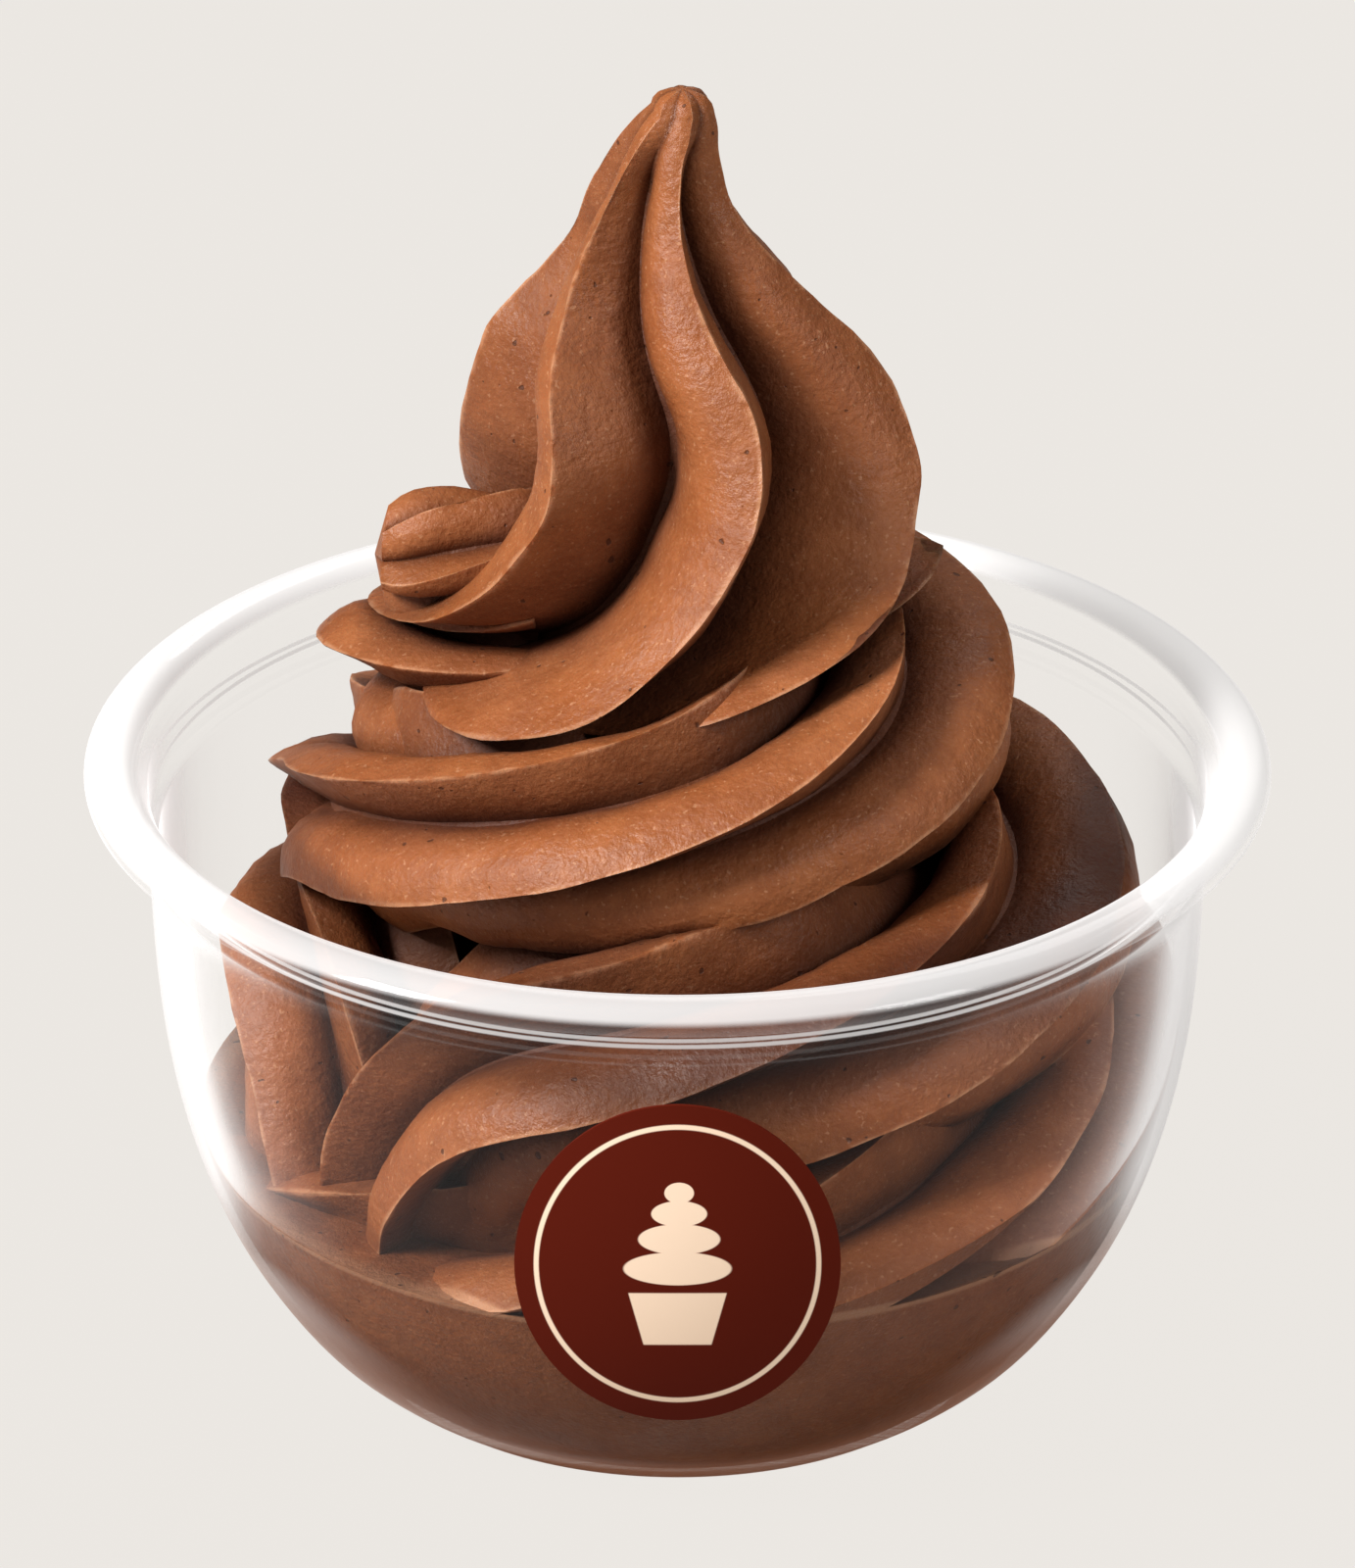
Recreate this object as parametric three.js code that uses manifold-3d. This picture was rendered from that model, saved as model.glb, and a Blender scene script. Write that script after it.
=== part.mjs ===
// Soft serve cup: a clear plastic bowl with a rolled rim, filled with chocolate soft serve piped
// in a rising, ridged swirl, and a round sticker on the front wall.
// Millimetres, +Z up, origin at the middle of the base, front towards -Y.
import * as THREE from "three";
import { mergeVertices } from "three/addons/utils/BufferGeometryUtils.js";
import Module from "manifold-3d";

const wasm = await Module();
wasm.setup();

// ---------------------------------------------------------------- sizes of the bowl
const RIM_RADIUS = 47.5; // 95 mm across the rolled rim
const RIM_TOP = 53; // crown of the rim above the table
const COLLAR_RADIUS = 43.3; // stacking collar under the rim
const WALL = 0.9;
const SKIN_GAP = 0.3; // between the frozen surface and the plastic
const BOWL_TURNS = 46; // facets round the bowl

// Outer face of the wall from the base up: height, radius.
const WALL_CURVE = [
  [0.0, 24.4],
  [2.2, 27.2],
  [5.0, 30.4],
  [9.0, 33.5],
  [14.0, 36.3],
  [20.0, 38.7],
  [27.0, 40.6],
  [35.0, 41.8],
  [45.6, 42.5],
];

// ---------------------------------------------------------------- sizes of the sticker
// It is cut so that it reads as a circle from a little above the table, as on the shelf.
const STICKER_SIZE = 25.2; // across that circle
const STICKER_VIEW = 25.8; // degrees above the table
const STICKER_MIDDLE = 28.0; // height of its middle on the wall
const STICKER_THICK = 0.3;
const STICKER_GAP = 0.25; // between its back and the wall

// ---------------------------------------------------------------- sizes of the swirl
const FINS = 6; // points of the star nozzle
const TWIST = 360; // degrees a fin turns about the strand in each turn of the coil
const FIN_START = -105; // where the first fin points at the front of the last turn
const FLAT = 0.85; // height of a coil's section over its width: the coils sag
const RING_STEP = 7.8; // length of strand between two sections
const CROWN_RINGS = 21;

// Stations along the piped strand, one coil after another from the bottom of the bowl up.
// turn: 0 is the front of the last turn; ring: radius of the coil; rise: height; size: fin tip
// radius; turned: extra twist in degrees; shift: sideways drift of the coil's axis.
const BOTTOM_COIL = [
  { turn: -3.3, ring: 25, rise: 12, size: 12, turned: 30, shift: 0 },
  { turn: -3.0, ring: 27, rise: 19, size: 13, turned: 30, shift: 0 },
  { turn: -2.75, ring: 28.5, rise: 26, size: 13.5, turned: 30, shift: 0 },
  { turn: -2.5, ring: 27.5, rise: 33, size: 12.5, turned: 30, shift: 0 },
  { turn: -2.33, ring: 26, rise: 36.5, size: 12, turned: 30, shift: 0 },
  { turn: -2.23, ring: 26, rise: 32.5, size: 11, turned: 30, shift: 0 },
  { turn: -2.195, ring: 26, rise: 24, size: 10, turned: 30, shift: 0 },
];
const MIDDLE_COIL = [
  { turn: -2.14, ring: 25, rise: 17, size: 9.5, turned: 17, shift: 0 },
  { turn: -2.12, ring: 25.5, rise: 26.5, size: 11.5, turned: 17, shift: 0 },
  { turn: -2.075, ring: 25.5, rise: 35.5, size: 12.8, turned: 11, shift: 0 },
  { turn: -2.0, ring: 24.5, rise: 39, size: 13.5, turned: 0, shift: 0 },
  { turn: -1.88, ring: 25, rise: 40, size: 13.2, turned: 2, shift: 0 },
  { turn: -1.74, ring: 25.3, rise: 41, size: 12.6, turned: 3, shift: 0 },
  { turn: -1.6, ring: 25.5, rise: 41.5, size: 11.8, turned: 8, shift: 0 },
  { turn: -1.38, ring: 24.5, rise: 44.5, size: 11, turned: 15, shift: 0 },
  { turn: -1.25, ring: 22.5, rise: 48.5, size: 11, turned: 22, shift: -0.3 },
  { turn: -1.17, ring: 21.5, rise: 52.5, size: 11.5, turned: 23, shift: -0.5 },
  { turn: -1.0, ring: 19.5, rise: 56, size: 11.5, turned: 3, shift: -1.5 },
  { turn: -0.82, ring: 18.8, rise: 57.6, size: 12.8, turned: -2, shift: -2.5 },
  { turn: -0.6, ring: 17.5, rise: 56.8, size: 12.2, turned: -7, shift: -3 },
  { turn: -0.42, ring: 16, rise: 57.8, size: 11, turned: -15, shift: -3 },
  { turn: -0.27, ring: 14, rise: 59.5, size: 10.5, turned: -15, shift: -4 },
  { turn: -0.1, ring: 6, rise: 58, size: 9, turned: -15, shift: -4 },
];

// The last turn drawn up into the peak, as star sections one above another. rise: height; size:
// fin tip radius; left, front, right: azimuths of the three fins that face the front, degrees to
// the right of it; valley: where the groove lies between two fins; lift: slope by which the right
// of the section rises; shift: sideways drift of its middle.
const CROWN = [
  { rise: 59.6, size: 11, left: -160, front: -88, right: -28, valley: 0.6, lift: 0.3, shift: -3 },
  { rise: 60.6, size: 18.4, left: -144, front: -66, right: -6, valley: 0.6, lift: 0.31, shift: -2.8 },
  { rise: 61.7, size: 22.2, left: -128, front: -44, right: 14, valley: 0.6, lift: 0.3, shift: -2.6 },
  { rise: 63, size: 23.2, left: -112, front: -26, right: 33, valley: 0.58, lift: 0.26, shift: -2.2 },
  { rise: 65, size: 22.8, left: -90, front: -12, right: 48, valley: 0.52, lift: 0.2, shift: -1.6 },
  { rise: 68, size: 21.6, left: -64, front: -3, right: 58, valley: 0.46, lift: 0.13, shift: -0.9 },
  { rise: 72, size: 20.4, left: -49, front: 5, right: 65, valley: 0.44, lift: 0.07, shift: -0.1 },
  { rise: 76, size: 19.6, left: -41, front: 11, right: 71, valley: 0.44, lift: 0.03, shift: 0.4 },
  { rise: 80, size: 18.8, left: -36, front: 16, right: 77, valley: 0.44, lift: 0, shift: 0.8 },
  { rise: 84, size: 17.4, left: -36, front: 20.5, right: 82, valley: 0.46, lift: 0, shift: 0.5 },
  { rise: 88, size: 15.2, left: -40, front: 23, right: 86, valley: 0.56, lift: 0, shift: -0.2 },
  { rise: 92, size: 12.4, left: -48, front: 18, right: 84, valley: 0.65, lift: 0, shift: -0.9 },
  { rise: 96, size: 9.4, left: -52, front: 15, right: 78, valley: 0.62, lift: 0, shift: -1.6 },
  { rise: 100, size: 6.9, left: -48, front: 16, right: 76, valley: 0.58, lift: 0, shift: -1.7 },
  { rise: 104, size: 5.2, left: -42, front: 18, right: 78, valley: 0.56, lift: 0, shift: -0.9 },
  { rise: 107, size: 3.9, left: -41, front: 20, right: 80, valley: 0.55, lift: 0, shift: 0.5 },
  { rise: 109, size: 2.4, left: -40, front: 20, right: 80, valley: 0.55, lift: 0, shift: 1.4 },
];
const LIFT_FROM = -8; // sideways place from which the lift grows
// The torn start of the last turn, a stub that sticks out at the left.
const STUB = { from: [-11, -4, 71], to: [-22.5, -3, 71.5], size: 6.2, turned: 20 };

// Edge of the star beside a fin's crest: share of the way, reach as a share of the tip radius.
const LIT_SIDE = [
  [0, 1],
  [0.28, 0.93],
  [0.68, 0.79],
]; // from the crest down into the groove
const SHADE_SIDE = [
  [0, 0.64],
  [0.4, 0.7],
  [0.75, 0.84],
]; // from the groove up to the next crest
const CREST = -7.5; // how far a coil's crests lie before the middle of their fins, degrees
const GROOVE = 0.62; // where the groove lies between two fins of a coil
const DEEPER = 1.25; // depth of a coil's grooves over that of the crown's

// ---------------------------------------------------------------- helpers
const rad = (d) => (d * Math.PI) / 180;

// A closed lathe profile of [radius, height] pairs, run counter-clockwise.
function turned(profile, turns = BOWL_TURNS) {
  const g = new THREE.LatheGeometry(
    profile.map(([r, z]) => new THREE.Vector2(r, z)),
    turns,
  );
  g.rotateX(Math.PI / 2);
  return g;
}

function solid(geometry) {
  const g = geometry.clone();
  g.deleteAttribute("normal");
  g.deleteAttribute("uv");
  const m = mergeVertices(g, 1e-4);
  const tri = new Uint32Array(m.index.array);
  const make = (t) =>
    new wasm.Manifold(
      new wasm.Mesh({ numProp: 3, vertProperties: m.attributes.position.array, triVerts: t }),
    );
  const s = make(tri);
  if (s.volume() > 0) return s;
  for (let i = 0; i < tri.length; i += 3) [tri[i + 1], tri[i + 2]] = [tri[i + 2], tri[i + 1]];
  return make(tri);
}

function geometryOf(s) {
  const m = s.getMesh();
  const g = new THREE.BufferGeometry();
  g.setAttribute("position", new THREE.BufferAttribute(new Float32Array(m.vertProperties), 3));
  g.setIndex(new THREE.BufferAttribute(new Uint32Array(m.triVerts), 1));
  g.computeVertexNormals();
  return g;
}

// Value of one station quantity, q stations along, with a smooth curve through the stations.
function along(s, key, q) {
  const i = Math.min(Math.max(Math.floor(q), 0), s.length - 2);
  const at = (j) => s[Math.min(Math.max(j, 0), s.length - 1)][key];
  const u = q - i;
  const m0 = (at(i + 1) - at(i - 1)) / (i ? 2 : 1);
  const m1 = (at(i + 2) - at(i)) / (i < s.length - 2 ? 2 : 1);
  const u2 = u * u;
  const u3 = u2 * u;
  return (
    (2 * u3 - 3 * u2 + 1) * at(i) +
    (u3 - 2 * u2 + u) * m0 +
    (3 * u2 - 2 * u3) * at(i + 1) +
    (u3 - u2) * m1
  );
}

function centre(s, q) {
  const a = rad(270 + 360 * along(s, "turn", q));
  const r = along(s, "ring", q);
  return new THREE.Vector3(
    r * Math.cos(a) + along(s, "shift", q),
    r * Math.sin(a),
    along(s, "rise", q),
  );
}

// Points of the star about a middle, with two unit vectors for its width and its height.
function star(p, out, up, size, crests, groove, deeper = 1, flat = 1) {
  const ring = [];
  const add = (f, reach) => {
    const r = size * (1 - deeper * (1 - reach));
    ring.push(
      p
        .clone()
        .addScaledVector(out, r * Math.cos(f))
        .addScaledVector(up, flat * r * Math.sin(f)),
    );
  };
  crests.forEach((crest, k) => {
    const next = k + 1 < FINS ? crests[k + 1] : crests[0] + 360;
    for (const [t, reach] of LIT_SIDE) add(rad(crest + (next - crest) * groove * t), reach);
    for (const [t, reach] of SHADE_SIDE)
      add(rad(crest + (next - crest) * (groove + (1 - groove) * t)), reach);
  });
  return ring;
}

const evenly = (start) => Array.from({ length: FINS }, (_, k) => start + (360 * k) / FINS);

// Section of a coil, q stations along. Points on the inside of the bend are held short of its
// centre, so that neighbouring sections never cross.
function section(s, q) {
  const step = 0.02;
  const p = centre(s, q);
  const before = centre(s, q - step);
  const after = centre(s, q + step);
  const ahead = after.clone().sub(before);
  const speed = ahead.length() / (2 * step);
  ahead.normalize();
  const bend = after.clone().add(before).addScaledVector(p, -2).divideScalar((step * speed) ** 2);
  bend.addScaledVector(ahead, -bend.dot(ahead));
  const limit = 0.9 / bend.length();
  bend.normalize();
  const turn = along(s, "turn", q);
  const a = rad(270 + 360 * turn);
  const out = new THREE.Vector3(Math.cos(a), Math.sin(a), 0);
  out.addScaledVector(ahead, -out.dot(ahead)).normalize();
  const up = out.clone().cross(ahead);
  const start = FIN_START + CREST + TWIST * turn + along(s, "turned", q);
  const ring = star(p, out, up, along(s, "size", q), evenly(start), GROOVE, DEEPER, FLAT);
  for (const o of ring) {
    const inward = o.clone().sub(p).dot(bend);
    if (inward > limit) o.addScaledVector(bend, limit - inward);
  }
  return ring;
}

// Section of the crown, q stations up.
function slice(q) {
  const p = new THREE.Vector3(along(CROWN, "shift", q), 0, along(CROWN, "rise", q));
  const front = new THREE.Vector3(0, -1, 0);
  const left = new THREE.Vector3(-1, 0, 0);
  const [a, b, c] = ["left", "front", "right"].map((key) => -along(CROWN, key, q));
  const behind = (360 + c - a) / 4;
  const crests = [c, b, a, a + behind, a + 2 * behind, a + 3 * behind];
  const groove = along(CROWN, "valley", q);
  const ring = star(p, front, left, along(CROWN, "size", q), crests, groove);
  const lift = along(CROWN, "lift", q);
  for (const o of ring) {
    const x = o.x - LIFT_FROM;
    o.z += (lift * (x + Math.hypot(x, 5))) / 2;
  }
  return ring;
}

// A closed body through a list of rings with equal counts; lift raises the middle of its end caps.
// twist says which way the rings turn, so that each face is split along its short diagonal.
function loft(rings, twist = 1, lift = 0) {
  const n = rings[0].length;
  const count = rings.length - 1;
  const pos = [];
  rings.forEach((ring) => ring.forEach((p) => pos.push(p.x, p.y, p.z)));
  const idx = [];
  for (let i = 0; i < count; i++)
    for (let j = 0; j < n; j++) {
      const a = i * n + j;
      const b = i * n + ((j + 1) % n);
      if (twist > 0) idx.push(a, b, a + n, b, b + n, a + n);
      else idx.push(a, b, b + n, a, b + n, a + n);
    }
  const middle = (ring) => {
    const m = new THREE.Vector3();
    ring.forEach((p) => m.addScaledVector(p, 1 / n));
    return m;
  };
  for (const i of [0, count]) {
    const mid = middle(rings[i]);
    const next = middle(rings[i ? count - 1 : 1]);
    mid.addScaledVector(mid.clone().sub(next).normalize(), lift);
    const c = pos.length / 3;
    pos.push(mid.x, mid.y, mid.z);
    for (let j = 0; j < n; j++) {
      const a = i * n + j;
      const b = i * n + ((j + 1) % n);
      if (i) idx.push(c, a, b);
      else idx.push(c, b, a);
    }
  }
  const g = new THREE.BufferGeometry();
  g.setAttribute("position", new THREE.Float32BufferAttribute(pos, 3));
  g.setIndex(idx);
  return g;
}

// Sections along a coil at equal steps of length.
function sections(s) {
  const fine = 40 * (s.length - 1);
  const reach = [0];
  for (let i = 1; i <= fine; i++)
    reach.push(reach[i - 1] + centre(s, i / 40).distanceTo(centre(s, (i - 1) / 40)));
  const count = Math.ceil(reach[fine] / RING_STEP);
  const rings = [];
  for (let k = 0, i = 0; k <= count; k++) {
    const want = (reach[fine] * k) / count;
    while (i < fine - 1 && reach[i + 1] < want) i++;
    rings.push(section(s, (i + (want - reach[i]) / (reach[i + 1] - reach[i])) / 40));
  }
  return rings;
}

// ---------------------------------------------------------------- bowl
const outerWall = WALL_CURVE.map(([z, r]) => [r, z]);
const innerWall = WALL_CURVE.slice(1).map(([z, r], i) => {
  const [zb, rb] = WALL_CURVE[Math.max(i, 0)];
  const tilt = Math.atan2(r - rb, z - zb);
  return [r - WALL * Math.cos(tilt), z + WALL * Math.sin(tilt)];
});
const rim = [
  [COLLAR_RADIUS, 46.6],
  [COLLAR_RADIUS, 50.2],
  [46.9, 50.5],
  [RIM_RADIUS, 51.0],
  [RIM_RADIUS, 51.7],
  [46.9, 52.5],
  [45.9, 52.9],
  [44.9, RIM_TOP],
  [43.6, 52.5],
  [42.5, 50.4],
  [42.3, 47.6],
  [41.6, 46.8],
];
const bowlProfile = [
  [0, 1.6],
  [18.5, 1.6],
  [20.0, 0],
  ...outerWall,
  ...rim,
  ...innerWall.slice().reverse(),
  [23.5, 2.4],
  [0, 2.5],
];
const bowl = turned(bowlProfile);

// ---------------------------------------------------------------- soft serve
const room = turned(
  [
    [0, 2.5 + SKIN_GAP],
    [23.6, 2.5 + SKIN_GAP],
    ...innerWall.map(([r, z]) => [r - SKIN_GAP, z]),
    [41.3, 60],
    [41.3, 130],
    [0, 130],
  ],
  48,
);

const base = turned(
  [
    [0, 1],
    [50, 1],
    [50, 22],
    [41, 21.5],
    [38, 20.5],
    [30, 21],
    [0, 22],
  ],
  32,
);
const core = turned(
  [
    [0, 5],
    [16, 5],
    [17, 25],
    [15, 40],
    [10, 52],
    [7, 60],
    [0, 66],
  ],
  24,
);

// Each coil is joined from runs of less than half a turn.
let cream = solid(base).add(solid(core));
for (const coil of [BOTTOM_COIL, MIDDLE_COIL]) {
  const rings = sections(coil);
  const run = 8;
  for (let i = 0; i < rings.length - 1; i += run)
    cream = cream.add(solid(loft(rings.slice(i, i + run + 1))));
}
const slices = [];
for (let i = 0; i <= CROWN_RINGS; i++) slices.push(slice(((CROWN.length - 1) * i) / CROWN_RINGS));
cream = cream.add(solid(loft(slices, -1, 0.9)));
const stubFrom = new THREE.Vector3(...STUB.from);
const stubTo = new THREE.Vector3(...STUB.to);
const stubSide = stubTo.clone().sub(stubFrom).cross(new THREE.Vector3(0, 0, 1)).normalize();
const stubUp = new THREE.Vector3(0, 0, 1);
const stub = [0, 0.3, 0.6, 0.85, 1].map((u) =>
  star(
    stubFrom.clone().lerp(stubTo, u),
    stubSide,
    stubUp,
    STUB.size * Math.sqrt(1 - 0.6 * u ** 4),
    evenly(STUB.turned + 50 * u),
    GROOVE,
  ),
);
cream = cream.add(solid(loft(stub, 1, 0.8)));
cream = cream.intersect(solid(room));
cream = cream.setTolerance(0.1);
const bodies = cream.decompose().filter((b) => b.volume() > 0);
bodies.sort((a, b) => b.volume() - a.volume());
cream = bodies[0];

// ---------------------------------------------------------------- sticker
function wallAt(z) {
  let i = 1;
  while (i < WALL_CURVE.length - 1 && WALL_CURVE[i][0] < z) i++;
  const [za, ra] = WALL_CURVE[i - 1];
  const [zb, rb] = WALL_CURVE[i];
  const slope = (rb - ra) / (zb - za);
  return { r: ra + slope * (z - za), slope };
}

// How high a place on the wall appears from the sticker's view, at a distance across.
function appears(z, across) {
  const { r } = wallAt(z);
  const v = rad(STICKER_VIEW);
  return z * Math.cos(v) - Math.sqrt(r * r - across * across) * Math.sin(v);
}

// Place of (u, v) in the unit circle on the wall, off it by a distance.
function onWall(u, v, off) {
  const across = (STICKER_SIZE / 2) * u;
  const want = appears(STICKER_MIDDLE, 0) + (STICKER_SIZE / 2) * v;
  let low = 2;
  let high = 45;
  for (let i = 0; i < 40; i++) {
    const mid = (low + high) / 2;
    if (appears(mid, across) < want) low = mid;
    else high = mid;
  }
  const { r, slope } = wallAt(low);
  const a = Math.asin(across / r);
  const n = off / Math.hypot(1, slope);
  return [(r + n) * Math.sin(a), -(r + n) * Math.cos(a), low - slope * n];
}

function sticker() {
  const steps = 36;
  const reaches = [1, 0.7, 0.35];
  const pos = [];
  const idx = [];
  for (const off of [STICKER_GAP, STICKER_GAP + STICKER_THICK]) {
    for (const q of reaches)
      for (let j = 0; j < steps; j++) {
        const a = rad((360 * j) / steps);
        pos.push(...onWall(q * Math.cos(a), q * Math.sin(a), off));
      }
    pos.push(...onWall(0, 0, off));
  }
  const side = steps * reaches.length + 1;
  for (let j = 0; j < steps; j++) {
    const k = (j + 1) % steps;
    for (let i = 0; i < reaches.length - 1; i++) {
      const a = i * steps + j;
      const b = i * steps + k;
      idx.push(a, a + steps, b, b, a + steps, b + steps);
      idx.push(side + a, side + b, side + a + steps);
      idx.push(side + b, side + b + steps, side + a + steps);
    }
    const last = (reaches.length - 1) * steps;
    idx.push(last + j, side - 1, last + k);
    idx.push(side + last + j, side + last + k, 2 * side - 1);
    idx.push(j, k, side + j, k, side + k, side + j);
  }
  const g = new THREE.BufferGeometry();
  g.setAttribute("position", new THREE.Float32BufferAttribute(pos, 3));
  g.setIndex(idx);
  g.computeVertexNormals();
  return g;
}

const group = new THREE.Group();
function put(name, geometry, color, roughness, extra = {}) {
  const m = new THREE.Mesh(
    geometry,
    new THREE.MeshStandardMaterial({ color, roughness, metalness: 0, ...extra }),
  );
  m.name = name;
  group.add(m);
  return m;
}

put("cup", bowl, 0xf4f2f0, 0.1, { transparent: true, opacity: 0.3 });
put("soft_serve", geometryOf(cream), 0x8a5638, 0.5);
put("sticker", sticker(), 0x581a0e, 0.6);

export default group;
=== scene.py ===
import bpy
import bmesh
import math
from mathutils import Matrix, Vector, noise
from mathutils.bvhtree import BVHTree


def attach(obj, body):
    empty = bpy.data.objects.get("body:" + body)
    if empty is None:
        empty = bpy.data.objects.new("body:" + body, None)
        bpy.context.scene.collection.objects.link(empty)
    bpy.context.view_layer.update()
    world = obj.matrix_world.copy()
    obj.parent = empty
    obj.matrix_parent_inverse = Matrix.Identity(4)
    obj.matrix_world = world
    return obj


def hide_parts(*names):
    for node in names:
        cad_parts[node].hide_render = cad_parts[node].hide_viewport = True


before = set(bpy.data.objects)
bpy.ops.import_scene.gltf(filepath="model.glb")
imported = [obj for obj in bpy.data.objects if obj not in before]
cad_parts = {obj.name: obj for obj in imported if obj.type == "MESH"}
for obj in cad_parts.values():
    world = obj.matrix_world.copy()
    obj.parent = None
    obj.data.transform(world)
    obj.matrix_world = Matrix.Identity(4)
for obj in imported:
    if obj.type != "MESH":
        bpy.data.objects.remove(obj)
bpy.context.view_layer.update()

mm = 0.001
sameSpot = 1e-6  # metres between points that are one
print("frame loaded", list(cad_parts))


def held(value):  # kept between 0 and 1
    return min(1, max(0, value))


def along(stations, column, q):  # one column of the stations, q stations along, smoothly
    last = len(stations) - 1
    i = min(max(int(math.floor(q)), 0), last - 1)
    before, here, there, after = (stations[min(max(j, 0), last)][column] for j in range(i - 1, i + 3))
    u = q - i
    slopeHere = (there - before) / (2 if i else 1)
    slopeThere = (after - here) / (2 if i < last - 1 else 1)
    return ((2 * u**3 - 3 * u**2 + 1) * here + (u**3 - 2 * u**2 + u) * slopeHere
            + (3 * u**2 - 2 * u**3) * there + (u**3 - u**2) * slopeThere)


def roundedCurve(points, steps):  # a smooth curve through (radius, height) points
    return [(along(points, 0, q / steps), along(points, 1, q / steps))
            for q in range((len(points) - 1) * steps + 1)]


def finishedMesh(name, bm):
    mesh = bpy.data.meshes.new(name)
    bm.to_mesh(mesh)
    bm.free()
    piece = bpy.data.objects.new(name, mesh)
    bpy.context.scene.collection.objects.link(piece)
    return piece


def spunProfile(profile, turns):  # profile of (radius, height) in mm, spun about Z
    bm = bmesh.new()
    verts = [bm.verts.new((r * mm, 0, z * mm)) for r, z in profile]
    edges = [bm.edges.new(pair) for pair in zip(verts, verts[1:])]
    bmesh.ops.spin(bm, geom=verts + edges, cent=(0, 0, 0), axis=(0, 0, 1), dvec=(0, 0, 0),
                   angle=2 * math.pi, steps=turns, use_merge=True)
    bmesh.ops.remove_doubles(bm, verts=bm.verts, dist=sameSpot)
    bmesh.ops.recalc_face_normals(bm, faces=bm.faces)
    return bm


def edgesByAngle(bm, degrees):  # smooth shading, with crisp edges above this angle
    for face in bm.faces:
        face.smooth = True
    for edge in bm.edges:
        if len(edge.link_faces) == 2:
            edge.smooth = edge.calc_face_angle(0) < math.radians(degrees)


class Wire:  # one socket that can be used in a Python expression
    def __init__(self, maker, socket):
        self.maker, self.socket = maker, socket

    def maths(self, operation, *others):
        return self.maker.node("ShaderNodeMath", {"operation": operation}, [self, *others])

    def __add__(self, other):
        return self.maths("ADD", other)

    def __sub__(self, other):
        return self.maths("SUBTRACT", other)

    def __rsub__(self, other):
        return self.maker.node("ShaderNodeMath", {"operation": "SUBTRACT"}, [other, self])

    def __mul__(self, other):
        return self.maths("MULTIPLY", other)

    def __truediv__(self, other):
        return self.maths("DIVIDE", other)

    def __pow__(self, other):
        return self.maths("POWER", other)

    __radd__ = __add__
    __rmul__ = __mul__


class Finish:  # a material and its one way of adding nodes
    def __init__(self, name):
        self.material = bpy.data.materials.new(name)
        self.material.use_nodes = True
        self.tree = self.material.node_tree
        self.tree.nodes.clear()

    def node(self, kind, settings=None, inputs=(), out=0):
        made = self.tree.nodes.new(kind)
        for key, value in (settings or {}).items():
            if key == "stops":
                self.setStops(made.color_ramp, value)
            else:
                setattr(made, key, value)
        pairs = inputs.items() if isinstance(inputs, dict) else enumerate(inputs)
        for key, value in pairs:
            socket = made.inputs[key]
            if isinstance(value, Wire):
                self.tree.links.new(value.socket, socket)
            else:
                socket.default_value = value
        return Wire(self, made.outputs[out] if len(made.outputs) else None)

    def setStops(self, ramp, stops):  # stops of (place, grey)
        while len(ramp.elements) < len(stops):
            ramp.elements.new(0.5)
        for element, (place, grey) in zip(ramp.elements, stops):
            element.position = place
            element.color = (grey, grey, grey, 1)

    def mixed(self, factor, low, high):  # colours
        return self.node("ShaderNodeMix", {"data_type": "RGBA"}, {0: factor, 6: low, 7: high}, out=2)

    def place(self):  # Object coordinates in mm
        coords = self.node("ShaderNodeTexCoord", out=3)
        return self.node("ShaderNodeMapping", None, {"Vector": coords, "Scale": (1 / mm, 1 / mm, 1 / mm)})

    def uvMap(self, name):
        return self.node("ShaderNodeUVMap", {"uv_map": name})

    def xyz(self, vector):  # the three numbers of a vector
        parts = self.node("ShaderNodeSeparateXYZ", None, {"Vector": vector}).socket.node
        return [Wire(self, output) for output in parts.outputs]

    def spots(self, vector, scale, detail, rough):
        return self.node("ShaderNodeTexNoise", None,
                         {"Vector": vector, "Scale": scale, "Detail": detail, "Roughness": rough})

    def between(self, value, low, high, atLow=0.0, atHigh=1.0, kind="SMOOTHSTEP"):  # low may be the greater
        return self.node("ShaderNodeMapRange", {"interpolation_type": kind},
                         {0: value, 1: low, 2: high, 3: atLow, 4: atHigh})

    def band(self, value, a, b, c, d):  # rises from a to b, falls from c to d
        return self.between(value, a, b) * self.between(value, d, c)

    def ends(self, surface):
        self.node("ShaderNodeOutputMaterial", None, {"Surface": surface})
        return self.material


def srgb(*seen):  # 0 to 255 as seen, to linear
    shares = [c / 255 for c in seen]
    return tuple(c / 12.92 if c <= 0.04045 else ((c + 0.055) / 1.055) ** 2.4 for c in shares) + (1.0,)


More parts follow.
